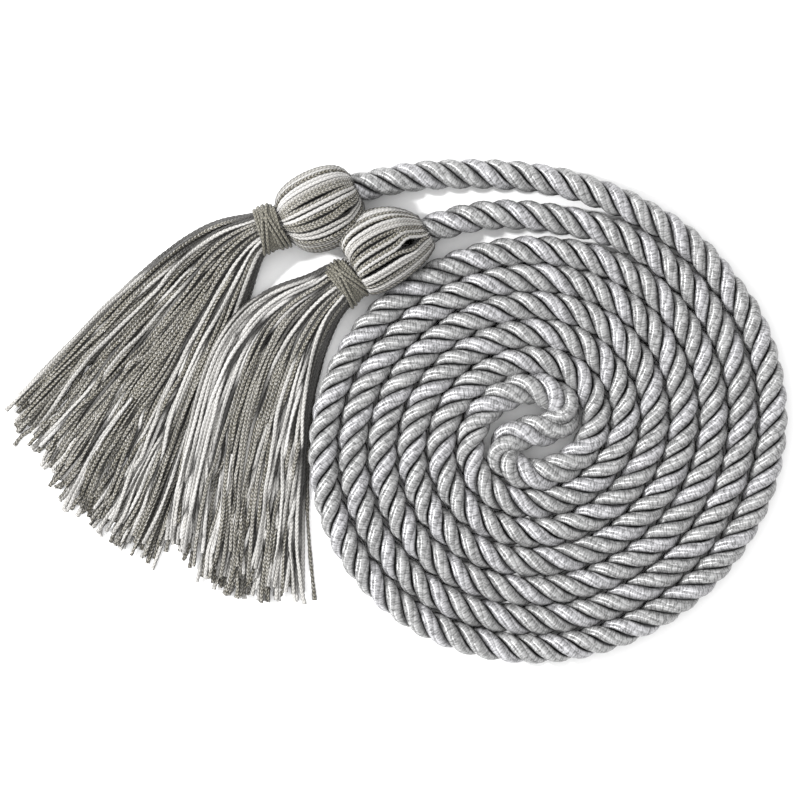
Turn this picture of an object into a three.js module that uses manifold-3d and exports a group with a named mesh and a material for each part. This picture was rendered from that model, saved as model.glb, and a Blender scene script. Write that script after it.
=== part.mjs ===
import * as THREE from "three";
import { mergeVertices } from "three/addons/utils/BufferGeometryUtils.js";
import Module from "manifold-3d";

// Honor cord: a twisted satin cord folded into an S, wound flat as a double spiral, with a
// thread tassel on each end. Lengths are in millimetres and angles in degrees.
// Routes and places are measured from the middle of the coil, with the surface it lies on at z = 0.

// The cord.
const cordDiameter = 7;
const cordPress = 0.2;
const cordSides = 12;

// The coil: two arms that start half a turn apart, each one a turn pitch further out every half turn.
const turnClearance = 0.41;
const turnPitch = cordDiameter + turnClearance;
const innerRadius = 6.4;
const ovalShare = 0.04;
const ovalAngle = 22.5;
const topShare = 0.026;
const foldBulge = 2.4;
const foldBulgeAngle = 40;
const foldBulgeTurns = 6.5;
const stationAngle = 12;
const armStart = 90;
const frontArmEnd = 1098;
const backArmEnd = 1290;

// The clearance between pieces that meet.
const clearance = 0.3;

// The tassels.
const headLength = 19.6;
const headWidth = 18.6;
const headDepth = 14;
const headRibs = 12;
const ribShare = 0.035;
const mouthWall = 1.2;
const socketDepth = 4;
const neckWidth = 10;
const neckDepth = 8;
const bindingLength = 6;
const bindingSetback = 0.9;
const bindingThickness = 1;
const bindingTurns = 7;
const bindingRidge = 0.35;
const bindingSides = 16;
const skirtLength = 80;
const lockStartWidth = 3.6;
const lockStartDepth = 6;
const lockEndDepth = 3;
const lockRag = 0.02;
const lockSides = 6;
const lockSteps = 7;
const neckLap = 3;
const lockSetback = 1.9;
const bendReach = 0.75;
const bendDrop = 0.6;
const lieReach = 0.2;
const lieDrop = 0.14;

// The fold at the cord's middle, from the front arm to the back arm: x and y.
const foldRoute = [
  [3.4, 9.9],
  [6.0, 8.4],
  [7.4, 6.0],
  [6.7, 3.4],
  [4.2, 1.4],
  [0.6, 0.2],
  [-3.0, -0.7],
  [-6.2, -2.4],
  [-7.6, -5.2],
  [-6.6, -8.0],
  [-3.8, -9.9],
];

// The cord's end from the coil to the mouth of the back tassel: x and y.
const backLeadRoute = [
  [48.1, 36.6],
  [44.0, 41.8],
  [39.4, 46.3],
  [34.3, 50.3],
  [29.0, 53.4],
  [23.6, 56.3],
  [17.4, 58.9],
  [11.4, 60.9],
  [5.5, 62.4],
  [-0.5, 63.4],
  [-7.0, 64.0],
  [-13.5, 64.3],
  [-20.0, 64.2],
  [-26.5, 63.9],
  [-33.0, 63.1],
  [-39.0, 61.9],
];

// The cord's end from the coil to the mouth of the front tassel: x and y.
const frontLeadRoute = [
  [48.4, 22.0],
  [45.5, 27.7],
  [42.0, 32.8],
  [38.0, 37.4],
  [33.4, 41.6],
  [28.4, 45.2],
  [23.0, 48.2],
  [17.4, 50.4],
  [11.6, 51.9],
  [5.6, 53.0],
  [-0.4, 53.8],
  [-6.4, 54.1],
  [-12.4, 53.8],
  [-17.6, 52.9],
  [-22.2, 51.6],
];

// A tassel head: the share of its length, how far it swells from its ends to its full width
// and depth, and the share of the binding's wall that lifts it clear of the surface.
const headSections = [
  { along: 0, swell: 0, lift: 0 },
  { along: 0.05, swell: 0.42, lift: 0 },
  { along: 0.14, swell: 0.7, lift: 0 },
  { along: 0.3, swell: 0.93, lift: 0 },
  { along: 0.5, swell: 1, lift: 0 },
  { along: 0.68, swell: 0.95, lift: 0 },
  { along: 0.84, swell: 0.74, lift: 0.2 },
  { along: 0.94, swell: 0.4, lift: 0.7 },
  { along: 1, swell: 0, lift: 1 },
];

// A skirt from its upper edge to its lower one: the place across the neck as a share of its half
// width, the heading in which the threads leave the binding, the heading in which they lie, the
// share of the skirt's length that they run before they bend, their length as a share of it, and
// their height over the surface as a share of the locks' end depth.
const backSkirt = [
  { across: 0.6, leave: 184, lie: 226, run: 0.2, length: 0.985, over: 0 },
  { across: 0.36, leave: 197, lie: 231.5, run: 0.18, length: 1.03, over: 0 },
  { across: 0, leave: 211, lie: 237.5, run: 0.17, length: 1.05, over: 0 },
  { across: -0.36, leave: 226, lie: 244.5, run: 0.17, length: 1.045, over: 0 },
  { across: -0.66, leave: 240, lie: 252, run: 0.17, length: 1, over: 0 },
];
const frontSkirt = [
  { across: 0.66, leave: 195, lie: 257.5, run: 0.34, length: 1.08, over: 1.2 },
  { across: 0.36, leave: 205, lie: 257.5, run: 0.28, length: 1.06, over: 0.7 },
  { across: 0, leave: 215, lie: 260, run: 0.24, length: 1.05, over: 0.2 },
  { across: -0.36, leave: 224, lie: 263.5, run: 0.22, length: 1, over: 0 },
  { across: -0.66, leave: 231, lie: 266, run: 0.22, length: 0.96, over: 0 },
];

const backTassel = {
  mouth: [-44.6, 60.4],
  headHeading: 206.4,
  headBow: 0.4,
  neckHeading: 197.4,
  lockCount: 11,
  lockEndWidth: 6.8,
  skirt: backSkirt,
};
const frontTassel = {
  mouth: [-27.0, 50.0],
  headHeading: 211.5,
  headBow: 1.2,
  neckHeading: 221,
  lockCount: 9,
  lockEndWidth: 5,
  skirt: frontSkirt,
};

const cordSatin = new THREE.MeshStandardMaterial({ color: 0xa9a9ae, roughness: 0.42, metalness: 0 });
const tasselThread = new THREE.MeshStandardMaterial({ color: 0xa5a296, roughness: 0.7, metalness: 0 });
const bindingThread = new THREE.MeshStandardMaterial({ color: 0x8f8c7e, roughness: 0.75, metalness: 0 });

const radians = THREE.MathUtils.degToRad;
const lerp = THREE.MathUtils.lerp;
const weldDistance = 1e-4;
const cordFlat = cordDiameter - cordPress;
const cordHeight = cordFlat / 2;
const neckLift = bindingThickness + clearance;
const neckHeight = neckDepth / 2 + neckLift;

const wasm = await Module();
wasm.setup();

function heading(angle) {
  return new THREE.Vector3(Math.cos(radians(angle)), Math.sin(radians(angle)), 0);
}

function onSurface(points, height) {
  return points.map(([x, y]) => new THREE.Vector3(x, y, height));
}

// A curve through its points, whose stations are the points themselves.
class StationCurve extends THREE.CatmullRomCurve3 {
  getUtoTmapping(share) {
    return share;
  }
}

// A curve through its points whose sections all stand square to one axis.
class SquareCurve extends StationCurve {
  constructor(points, axis) {
    super(points);
    this.axis = axis;
  }

  getTangentAt() {
    return this.axis;
  }
}

// A stretch of a route between two of its stations, which may be parts of a station.
class Stretch extends THREE.Curve {
  constructor(route, first, last) {
    super();
    this.route = route;
    this.first = first;
    this.last = last;
    this.steps = Math.ceil(last) - Math.floor(first);
  }

  routeShare(share) {
    const station = Math.floor(this.first) + share * this.steps;
    const within = THREE.MathUtils.clamp(station, this.first, this.last);
    return within / (this.route.points.length - 1);
  }

  getPointAt(share) {
    return this.route.getPoint(this.routeShare(share));
  }

  getTangentAt(share) {
    return this.route.getTangent(this.routeShare(share));
  }
}

// The cord as a closed tube with flat sides above and below.
function cordTube(stretch) {
  const section = new THREE.Shape();
  const cornerRadius = cordFlat / 2 / Math.cos(Math.PI / cordSides);
  for (let side = 0; side < cordSides; side += 1) {
    const angle = ((2 * side + 1) * Math.PI) / cordSides;
    const corner = [cornerRadius * Math.cos(angle), cornerRadius * Math.sin(angle)];
    if (side === 0) section.moveTo(...corner);
    else section.lineTo(...corner);
  }
  section.closePath();
  return new THREE.ExtrudeGeometry(section, {
    steps: stretch.steps,
    bevelEnabled: false,
    extrudePath: stretch,
  });
}

// A point on an arm, wound this far from its start; the arm's start is turned by startTurn.
function armPoint(startTurn, wound) {
  const angle = radians(startTurn + wound);
  const halfTurns = wound / 180;
  const oval = ovalShare * Math.cos(2 * (angle - radians(ovalAngle)));
  const pitch = turnPitch * (1 + oval - topShare * Math.sin(angle));
  const fade = Math.max(0, 1 - halfTurns / foldBulgeTurns);
  const bulge = foldBulge * Math.cos(angle - radians(foldBulgeAngle)) ** 2 * fade;
  const radius = innerRadius + pitch * halfTurns + bulge;
  return new THREE.Vector3(radius * Math.cos(angle), radius * Math.sin(angle), cordHeight);
}

function armRoute(startTurn, armEnd) {
  const points = [];
  for (let wound = armStart; wound <= armEnd; wound += stationAngle) {
    points.push(armPoint(startTurn, wound));
  }
  return points;
}

function mouthPoint(tassel) {
  const [x, y] = tassel.mouth;
  return new THREE.Vector3(x, y, cordHeight);
}

// A cord's end, from the coil to the bottom of the tassel's socket.
function leadRoute(route, tassel) {
  const mouth = mouthPoint(tassel);
  const inside = mouth.clone().addScaledVector(heading(tassel.headHeading), socketDepth - clearance);
  return [...onSurface(route, cordHeight), mouth, inside];
}

// The whole cord, from the front tassel over the fold to the back tassel.
const frontLead = leadRoute(frontLeadRoute, frontTassel).toReversed();
const frontArm = armRoute(0, frontArmEnd).toReversed();
const fold = onSurface(foldRoute, cordHeight);
const backArm = armRoute(180, backArmEnd);
const backLead = leadRoute(backLeadRoute, backTassel);
const cordRoute = new THREE.CatmullRomCurve3([...frontLead, ...frontArm, ...fold, ...backArm, ...backLead]);
const coilFirst = frontLead.length;
const coilLast = coilFirst + frontArm.length + fold.length + backArm.length - 1;

// The part of a station that a clearance takes up, at a station and the one next to it.
function clearanceShare(station, next) {
  const [from, to] = [cordRoute.points[station], cordRoute.points[next]];
  return clearance / from.distanceTo(to);
}

function coil() {
  return cordTube(new Stretch(cordRoute, coilFirst, coilLast));
}

function frontCordEnd() {
  const last = coilFirst - clearanceShare(coilFirst, coilFirst - 1);
  return cordTube(new Stretch(cordRoute, 0, last));
}

function backCordEnd() {
  const first = coilLast + clearanceShare(coilLast, coilLast + 1);
  return cordTube(new Stretch(cordRoute, first, cordRoute.points.length - 1));
}

function toSolid(geometry) {
  const bare = geometry.clone();
  bare.deleteAttribute("normal");
  bare.deleteAttribute("uv");
  const merged = mergeVertices(bare, weldDistance);
  return new wasm.Manifold(new wasm.Mesh({
    numProp: 3,
    vertProperties: merged.attributes.position.array,
    triVerts: new Uint32Array(merged.index.array),
  }));
}

function toGeometry(solid) {
  const mesh = solid.getMesh();
  const geometry = new THREE.BufferGeometry();
  geometry.setAttribute("position", new THREE.BufferAttribute(mesh.vertProperties, 3));
  geometry.setIndex(new THREE.BufferAttribute(mesh.triVerts, 1));
  geometry.computeVertexNormals();
  return geometry;
}

// A closed body of oval sections along a path. sectionAt gives a station's half width and half
// depth, and rim the share of them at an angle round the section.
function ovalBody(path, sides, steps, sectionAt, rim = () => 1) {
  const geometry = new THREE.CylinderGeometry(1, 1, 1, sides, steps);
  const position = geometry.attributes.position;
  const place = new THREE.Vector3();
  for (let index = 0; index < position.count; index += 1) {
    const share = position.getY(index) + 0.5;
    const along = path.getTangentAt(share);
    const side = new THREE.Vector3(-along.y, along.x, 0).normalize();
    const down = side.clone().cross(along);
    const { halfWidth, halfDepth } = sectionAt(share);
    const reach = rim(Math.atan2(position.getZ(index), position.getX(index)));
    place.copy(path.getPointAt(share));
    place.addScaledVector(side, position.getX(index) * halfWidth * reach);
    place.addScaledVector(down, position.getZ(index) * halfDepth * reach);
    position.setXYZ(index, place.x, place.y, place.z);
  }
  return toSolid(geometry);
}

// The looped head, from the mouth round the cord to the neck.
function tasselHead(tassel) {
  const mouthWidth = cordDiameter + 2 * mouthWall;
  const axis = heading(tassel.headHeading);
  const side = heading(tassel.headHeading - 90);
  const sections = headSections.map(({ along, swell, lift }) => {
    const width = lerp(lerp(mouthWidth, neckWidth, along), headWidth, swell);
    const depth = lerp(lerp(cordDiameter, neckDepth, along), headDepth, swell);
    const place = mouthPoint(tassel).addScaledVector(axis, headLength * along);
    place.addScaledVector(side, tassel.headBow * swell);
    place.z = (depth / 2) * (1 + ribShare) + lift * neckLift;
    return { halfWidth: width / 2, halfDepth: depth / 2, place };
  });
  const steps = sections.length - 1;
  const path = new SquareCurve(sections.map(({ place }) => place), axis);
  const rim = (angle) => 1 + ribShare * Math.cos(headRibs * angle);
  return ovalBody(path, 2 * headRibs, steps, (share) => sections[Math.round(share * steps)], rim);
}

// The socket that the cord's end sits in.
function cordSocket(tassel) {
  const axis = heading(tassel.headHeading);
  const mouth = mouthPoint(tassel);
  const path = new THREE.LineCurve3(
    mouth.clone().addScaledVector(axis, -socketDepth),
    mouth.clone().addScaledVector(axis, socketDepth),
  );
  const radius = cordFlat / 2 / Math.cos(Math.PI / cordSides) + clearance;
  return ovalBody(path, 2 * cordSides, 1, () => ({ halfWidth: radius, halfDepth: radius }));
}

// Where the binding starts, a little past the head.
function neckStart(tassel) {
  const start = mouthPoint(tassel).addScaledVector(heading(tassel.headHeading), headLength);
  start.addScaledVector(heading(tassel.neckHeading), bindingSetback);
  start.z = neckHeight;
  return start;
}

function neckEnd(tassel) {
  return neckStart(tassel).addScaledVector(heading(tassel.neckHeading), bindingLength);
}

function tasselNeck(tassel) {
  const axis = heading(tassel.neckHeading);
  const path = new THREE.LineCurve3(
    neckStart(tassel).addScaledVector(axis, -neckLap - bindingSetback),
    neckEnd(tassel).addScaledVector(axis, neckLap),
  );
  return ovalBody(path, 2 * headRibs, 1, () => ({ halfWidth: neckWidth / 2, halfDepth: neckDepth / 2 }));
}

// The skirt's row at a share of the way from its upper edge to its lower one.
function skirtRow(rows, share) {
  const place = share * (rows.length - 1);
  const index = Math.min(Math.floor(place), rows.length - 2);
  const between = (column) => lerp(rows[index][column], rows[index + 1][column], place - index);
  return {
    across: between("across"),
    leave: between("leave"),
    lie: between("lie"),
    run: between("run"),
    length: between("length"),
    over: between("over"),
  };
}

// One lock of the skirt: it leaves the neck, bends over and lies down to its cut end.
function skirtLock(tassel, lock) {
  const axis = heading(tassel.neckHeading);
  const side = heading(tassel.neckHeading - 90);
  const length = skirtLength * lock.length;
  const run = skirtLength * lock.run;
  const endHeight = lockEndDepth / 2 + lockEndDepth * lock.over;
  const start = neckEnd(tassel).addScaledVector(side, (lock.across * neckWidth) / 2);
  const root = start.clone().addScaledVector(axis, lockSetback);
  const corner = start.clone().addScaledVector(heading(lock.leave), run);
  const tip = corner.clone().addScaledVector(heading(lock.lie), length - run);
  corner.z = lerp(endHeight, neckHeight, bendDrop);
  tip.z = endHeight;
  const nearRoot = root.clone().lerp(corner, bendReach);
  const nearTip = corner.clone().lerp(tip, lieReach);
  nearTip.z = lerp(endHeight, neckHeight, lieDrop);
  const path = new THREE.CubicBezierCurve3(root, nearRoot, nearTip, tip);
  const sectionAt = (share) => ({
    halfWidth: lerp(lockStartWidth, tassel.lockEndWidth, share) / 2,
    halfDepth: lerp(lockStartDepth, lockEndDepth, Math.sqrt(share)) / 2,
  });
  return ovalBody(path, lockSides, lockSteps, sectionAt);
}

function tasselBody(tassel) {
  let solid = tasselHead(tassel).subtract(cordSocket(tassel)).add(tasselNeck(tassel));
  for (let index = 0; index < tassel.lockCount; index += 1) {
    const lock = skirtRow(tassel.skirt, index / (tassel.lockCount - 1));
    lock.length += index % 2 ? lockRag : -lockRag;
    solid = solid.add(skirtLock(tassel, lock));
  }
  return toGeometry(solid);
}

// The thread wound round the neck: a closed ring with one ridge for each turn.
function neckBinding(tassel) {
  const innerWidth = neckWidth / 2 + clearance;
  const outerWidth = innerWidth + bindingThickness;
  const ridge = bindingLength / bindingTurns;
  const valley = bindingThickness * bindingRidge;
  const profile = [new THREE.Vector2(innerWidth, bindingLength), new THREE.Vector2(innerWidth, 0)];
  for (let turn = 0; turn < bindingTurns; turn += 1) {
    profile.push(new THREE.Vector2(outerWidth - valley, turn * ridge));
    profile.push(new THREE.Vector2(outerWidth, (turn + 0.5) * ridge));
  }
  profile.push(new THREE.Vector2(outerWidth - valley, bindingLength));
  profile.push(profile[0].clone());
  const geometry = new THREE.LatheGeometry(profile, bindingSides);
  const outerDepth = neckDepth / 2 + neckLift;
  geometry.scale(1, 1, outerDepth / outerWidth);
  return geometry;
}

function named(name, geometry, material) {
  const mesh = new THREE.Mesh(geometry, material);
  mesh.name = name;
  return mesh;
}

function placedBinding(name, tassel) {
  const mesh = named(name, neckBinding(tassel), bindingThread);
  mesh.position.copy(neckStart(tassel));
  mesh.rotation.set(0, 0, radians(tassel.neckHeading - 90));
  return mesh;
}

const honorCord = new THREE.Group();
honorCord.add(
  named("cord_coil", coil(), cordSatin),
  named("cord_lead_back", backCordEnd(), cordSatin),
  named("cord_lead_front", frontCordEnd(), cordSatin),
  named("tassel_back", tasselBody(backTassel), tasselThread),
  named("tassel_front", tasselBody(frontTassel), tasselThread),
  placedBinding("binding_back", backTassel),
  placedBinding("binding_front", frontTassel),
);

// The origin is at the middle of the whole cord's box, on the surface it lies on.
const box = new THREE.Box3().setFromObject(honorCord);
const middle = box.getCenter(new THREE.Vector3());
honorCord.position.set(-middle.x, -middle.y, -box.min.z);
honorCord.updateMatrixWorld(true);

export default honorCord;
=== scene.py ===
import math
import random

import bpy
import numpy as np
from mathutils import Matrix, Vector


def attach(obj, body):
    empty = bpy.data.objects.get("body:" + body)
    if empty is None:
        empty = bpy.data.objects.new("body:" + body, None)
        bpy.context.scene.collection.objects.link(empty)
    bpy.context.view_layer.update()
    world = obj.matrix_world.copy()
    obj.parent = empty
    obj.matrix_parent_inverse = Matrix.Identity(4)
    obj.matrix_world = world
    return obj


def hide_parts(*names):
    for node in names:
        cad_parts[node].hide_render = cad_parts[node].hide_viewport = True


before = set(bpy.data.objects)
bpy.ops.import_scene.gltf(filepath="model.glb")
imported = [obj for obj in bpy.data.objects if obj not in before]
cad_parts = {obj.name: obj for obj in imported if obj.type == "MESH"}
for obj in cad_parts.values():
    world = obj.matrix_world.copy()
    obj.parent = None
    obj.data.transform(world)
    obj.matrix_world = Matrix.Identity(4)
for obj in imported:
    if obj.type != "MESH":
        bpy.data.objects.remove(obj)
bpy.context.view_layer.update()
print("frame loaded,", len(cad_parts), "nodes")

mm = 0.001
up = Vector((0, 0, 1))
coilMiddle = (33.9886, -4.9223)  # the middle of the coil in the frame, mm


def place(x, y, z=0.0):  # a spot measured from the middle of the coil, in mm
    return Vector((x + coilMiddle[0], y + coilMiddle[1], z)) * mm


def heading(angle):  # a level direction, in degrees from +X
    return Vector((math.cos(math.radians(angle)), math.sin(math.radians(angle)), 0))


def mix(low, high, share):
    return low + (high - low) * share


# camera, looking straight down as in the photo
cameraView = {
    "lens": 100,
    "sensor": 36,
    "nearest": 0.01,
    "frameWidth": 200,
    "frameHeight": 4,  # the width is measured at this height
    "middle": (-33.3, 7.7),
}


def addCamera(v):
    data = bpy.data.cameras.new("camera")
    data.lens = v["lens"]
    data.sensor_width = v["sensor"]
    data.clip_start = v["nearest"]
    camera = bpy.data.objects.new("camera", data)
    bpy.context.collection.objects.link(camera)
    height = v["frameWidth"] * v["lens"] / v["sensor"] + v["frameHeight"]
    camera.location = place(*v["middle"], height)
    bpy.context.scene.camera = camera


addCamera(cameraView)
print("camera placed")


# node tree helpers, for geometry and for materials
def add(tree, kind, values=None, **settings):
    made = tree.nodes.new(kind)
    for name, value in settings.items():
        setattr(made, name, value)
    for key, value in (values or {}).items():
        socket = made.inputs[key] if isinstance(key, int) else next(
            s for s in made.inputs if s.name == key and s.enabled)
        if isinstance(value, bpy.types.NodeSocket):
            tree.links.new(value, socket)
        else:
            socket.default_value = value
    return made


def calc(tree, operation, *values):
    return add(tree, "ShaderNodeMath", dict(enumerate(values)), operation=operation).outputs[0]


def vec(tree, operation, *values):
    return add(tree, "ShaderNodeVectorMath", dict(enumerate(values)), operation=operation).outputs[0]


def scaled(tree, vector, factor):
    values = {0: vector, "Scale": factor}
    return add(tree, "ShaderNodeVectorMath", values, operation="SCALE").outputs[0]


def remap(tree, value, fromMin, fromMax, toMin, toMax):
    values = {"Value": value, "From Min": fromMin, "From Max": fromMax, "To Min": toMin, "To Max": toMax}
    return add(tree, "ShaderNodeMapRange", values).outputs[0]


def stored(tree, geometry, name, value, dataType="FLOAT"):
    values = {"Geometry": geometry, "Name": name, "Value": value}
    return add(tree, "GeometryNodeStoreNamedAttribute", values, data_type=dataType).outputs[0]


def named(tree, name, dataType="FLOAT"):
    return add(tree, "GeometryNodeInputNamedAttribute", {"Name": name}, data_type=dataType).outputs[0]


def newTree(name, inputs, treeType="GeometryNodeTree", outputs=None):
    tree = bpy.data.node_groups.new(name, treeType)
    for label, kind in inputs.items():
        tree.interface.new_socket(label, in_out="INPUT", socket_type="NodeSocket" + kind)
    for label, kind in (outputs or {"Geometry": "Geometry"}).items():
        tree.interface.new_socket(label, in_out="OUTPUT", socket_type="NodeSocket" + kind)
    return tree, tree.nodes.new("NodeGroupInput").outputs, tree.nodes.new("NodeGroupOutput").inputs


def lineMesh(name, runs, **perPoint):  # one chain of edges for each run of points
    mesh = bpy.data.meshes.new(name)
    edges = []
    first = 0
    for run in runs:
        edges += [(first + k, first + k + 1) for k in range(len(run) - 1)]
        first += len(run)
    mesh.from_pydata([point for run in runs for point in run], edges, [])
    for label, values in perPoint.items():
        mesh.attributes.new(label, "FLOAT", "POINT").data.foreach_set("value", values)
    made = bpy.data.objects.new(name, mesh)
    bpy.context.collection.objects.link(made)
    return made


def dressed(made, tree, values):  # runs a tree on an object and keeps its result as a plain mesh
    modifier = made.modifiers.new(tree.name, "NODES")
    modifier.node_group = tree
    for item in tree.interface.items_tree:
        if item.in_out == "INPUT" and item.name in values:
            modifier[item.identifier] = values[item.name]
    bpy.context.view_layer.update()
    graph = bpy.context.evaluated_depsgraph_get()
    mesh = bpy.data.meshes.new_from_object(made.evaluated_get(graph), preserve_all_data_layers=True,
                                           depsgraph=graph)
    made.modifiers.clear()
    made.data = mesh
    mesh.name = made.name
    return made


def belongs(made, slot, *nodes):
    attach(made, "root")
    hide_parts(*nodes)
    made.data.calc_loop_triangles()
    print(made.name, "made,", len(made.data.loop_triangles), "triangles")


# shader groups shared by the materials
yarnLook = {
    "sharpness": 1.05,
    "waverAlong": 420.0,
    "waverScale": 2.2,
    "streakAlong": 45.0,
    "streakScale": 4.0,
    "strokeSlant": 0.5,
    "strokeRange": (0.34, 0.66),
    "windShare": 0.2,
    "strokeShare": 0.6,
    "evenShare": 0.2,
}
stitchLook = {
    "furrow": 0.22,
    "furrowLevel": 0.5,
    "edgeRange": (0.62, 0.96),
    "edgeLevel": 0.03,
    "sharpness": 1.3,
}


def makeWoundYarns(v):  # yarns side by side round a strand, each wound crosswise with filament
    inputs = {"Along": "Float", "Round X": "Float", "Round Y": "Float", "Yarns": "Float", "Pitch": "Float",
              "Waver": "Float", "Stroke Scale": "Float"}
    outputs = {"Yarn": "Float", "Rib": "Float", "Streak": "Float"}
    tree, given, result = newTree("woundYarns", inputs, "ShaderNodeTree", outputs)

    def skinNoise(along, scale, detail):  # noise over the strand's skin, its grain set by along
        spot = add(tree, "ShaderNodeCombineXYZ", {0: given["Round X"], 1: given["Round Y"], 2: along})
        values = {"Vector": spot.outputs[0], "Scale": scale, "Detail": detail}
        return add(tree, "ShaderNodeTexNoise", values).outputs["Fac"]

    angle = calc(tree, "ARCTAN2", given["Round Y"], given["Round X"])
    lobe = calc(tree, "COSINE", calc(tree, "MULTIPLY", angle, calc(tree, "MULTIPLY", given["Yarns"], 0.5)))
    yarn = calc(tree, "POWER", calc(tree, "ABSOLUTE", lobe), v["sharpness"])
    noise = skinNoise(calc(tree, "MULTIPLY", given["Along"], v["waverAlong"]), v["waverScale"], 2.0)
    shift = calc(tree, "MULTIPLY", calc(tree, "SUBTRACT", noise, 0.5), given["Waver"])
    wound = calc(tree, "ADD", calc(tree, "DIVIDE", angle, 2 * math.pi), shift)
    turns = calc(tree, "ADD", calc(tree, "DIVIDE", given["Along"], given["Pitch"]), wound)
    wave = calc(tree, "SINE", calc(tree, "MULTIPLY", turns, 2 * math.pi))
    streak = skinNoise(calc(tree, "MULTIPLY", given["Along"], v["streakAlong"]), v["streakScale"], 2.0)
    stretched = calc(tree, "MULTIPLY", given["Along"], given["Stroke Scale"])
    grain = skinNoise(calc(tree, "MULTIPLY_ADD", angle, v["strokeSlant"], stretched), 1.0, 1.0)
    stroke = remap(tree, grain, *v["strokeRange"], 0.0, 1.0)
    strokes = calc(tree, "MULTIPLY_ADD", stroke, v["strokeShare"], v["evenShare"])
    tree.links.new(yarn, result["Yarn"])
    tree.links.new(calc(tree, "MULTIPLY_ADD", wave, v["windShare"], strokes), result["Rib"])
    tree.links.new(streak, result["Streak"])
    return tree


def makeChainStitch(v):  # two columns of V-shaped loops, as on a knitted chain thread
    inputs = {"Along": "Float", "Across": "Float", "Stitch": "Float", "Slant": "Float"}
    tree, given, result = newTree("chainStitch", inputs, "ShaderNodeTree", {"Loop": "Float", "Edge": "Float"})
    side = calc(tree, "ABSOLUTE", given["Across"])
    sway = calc(tree, "MULTIPLY", side, given["Slant"])
    turns = calc(tree, "ADD", calc(tree, "DIVIDE", given["Along"], given["Stitch"]), sway)
    wave = calc(tree, "ABSOLUTE", calc(tree, "SINE", calc(tree, "MULTIPLY", turns, math.pi)))
    column = remap(tree, side, 0.0, v["furrow"], v["furrowLevel"], 1.0)  # the furrow between the two columns
    # the loop shape falls off at the thread's edges; the same falloff sets the painted shade along the edges
    # in the thread material
    edge = remap(tree, side, *v["edgeRange"], 1.0, v["edgeLevel"])
    shape = calc(tree, "MULTIPLY", column, edge)
    tree.links.new(calc(tree, "MULTIPLY", calc(tree, "POWER", wave, v["sharpness"]), shape), result["Loop"])
    tree.links.new(edge, result["Edge"])
    return tree


woundYarns = makeWoundYarns(yarnLook)
chainStitch = makeChainStitch(stitchLook)


def attribute(tree, name):
    return add(tree, "ShaderNodeAttribute", attribute_name=name).outputs["Fac"]


def blended(tree, share, low, high, blend="MIX"):
    made = add(tree, "ShaderNodeMix", data_type="RGBA", blend_type=blend)
    colors = [s for s in made.inputs if s.type == "RGBA"]
    for socket, value in zip([made.inputs[0], *colors], [share, low, high]):
        if isinstance(value, bpy.types.NodeSocket):
            tree.links.new(value, socket)
        else:
            socket.default_value = value
    return next(s for s in made.outputs if s.type == "RGBA")


def newMaterial(name, roughness, **fixed):
    material = bpy.data.materials.new(name)
    material.use_nodes = True
    shader = material.node_tree.nodes["Principled BSDF"]
    shader.inputs["Roughness"].default_value = roughness
    for label, value in fixed.items():
        shader.inputs[label.replace("_", " ")].default_value = value
    return material, material.node_tree, shader


# materials
satin = {
    "grey": (0.43, 0.43, 0.429, 1),
    "pale": (0.5, 0.497, 0.512, 1),
    # a dark colour for the random streaks and crosswise ribs, and for the painted shade in the grooves
    # between yarns
    "darkToneAndShade": (0.03, 0.03, 0.03, 1),
    # painted shade: the near-black colour laid in the slots between strands and between turns
    "creviceShade": (0.001, 0.001, 0.001, 1),
    "roughness": 0.37,
    "anisotropic": 1.0,
    "metallic": 0.4,
    "specular": 0.4,
    "yarns": 5,
    "yarnRelief": 0.2,
    "yarnShade": 0.4,
    "ribPitch": 0.42,
    "ribRelief": 0.022,
    "ribShade": 0.7,
    "strokeScale": 2400,
    "waver": 2.2,
    "streakRange": (0.35, 0.75),
    "streakShade": 0.25,
    "ribRange": (0.1, 0.75),
    "yarnRange": (0.0, 0.3),
    "creviceRoughness": 0.95,
}
thread = {
    "olive": (0.097, 0.083, 0.041, 1),
    "pale": (0.5, 0.49, 0.475, 1),
    "boundOlive": (0.072, 0.064, 0.04, 1),
    "boundPale": (0.33, 0.315, 0.26, 1),
    # near black, used as painted shade between stitch loops, along thread edges and on threads lying under
    # others
    "gap": (0.006, 0.005, 0.004, 1),
    "roughness": 0.5,
    "loops": 0.95,
    "slant": 0.85,
    "relief": 0.12,
    "gapShade": 0.97,
    "tipShade": 0.7,
    "loopHighlight": 0.45,
    "edgeShade": 0.96,
    "sheen": 0.1,
    "bump": 0.9,
    "fleckScale": 1900.0,
    "fleckRange": (0.5, 0.64),
    "tipRange": (0.7, 1.0),
    "gapRange": (0.2, 0.8),
    "edgeRange": (0.1, 0.9),
    "paleCalm": 0.7,  # how much plainer a pale thread is, on its face and at its edges
    "paleEdgeCalm": 0.45,
}


def placed(tree, group, values):  # a shader group, with its values or links
    made = add(tree, "ShaderNodeGroup", node_tree=group)
    for label, value in values.items():
        if isinstance(value, bpy.types.NodeSocket):
            tree.links.new(value, made.inputs[label])
        else:
            made.inputs[label].default_value = value
    return made.outputs


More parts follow.
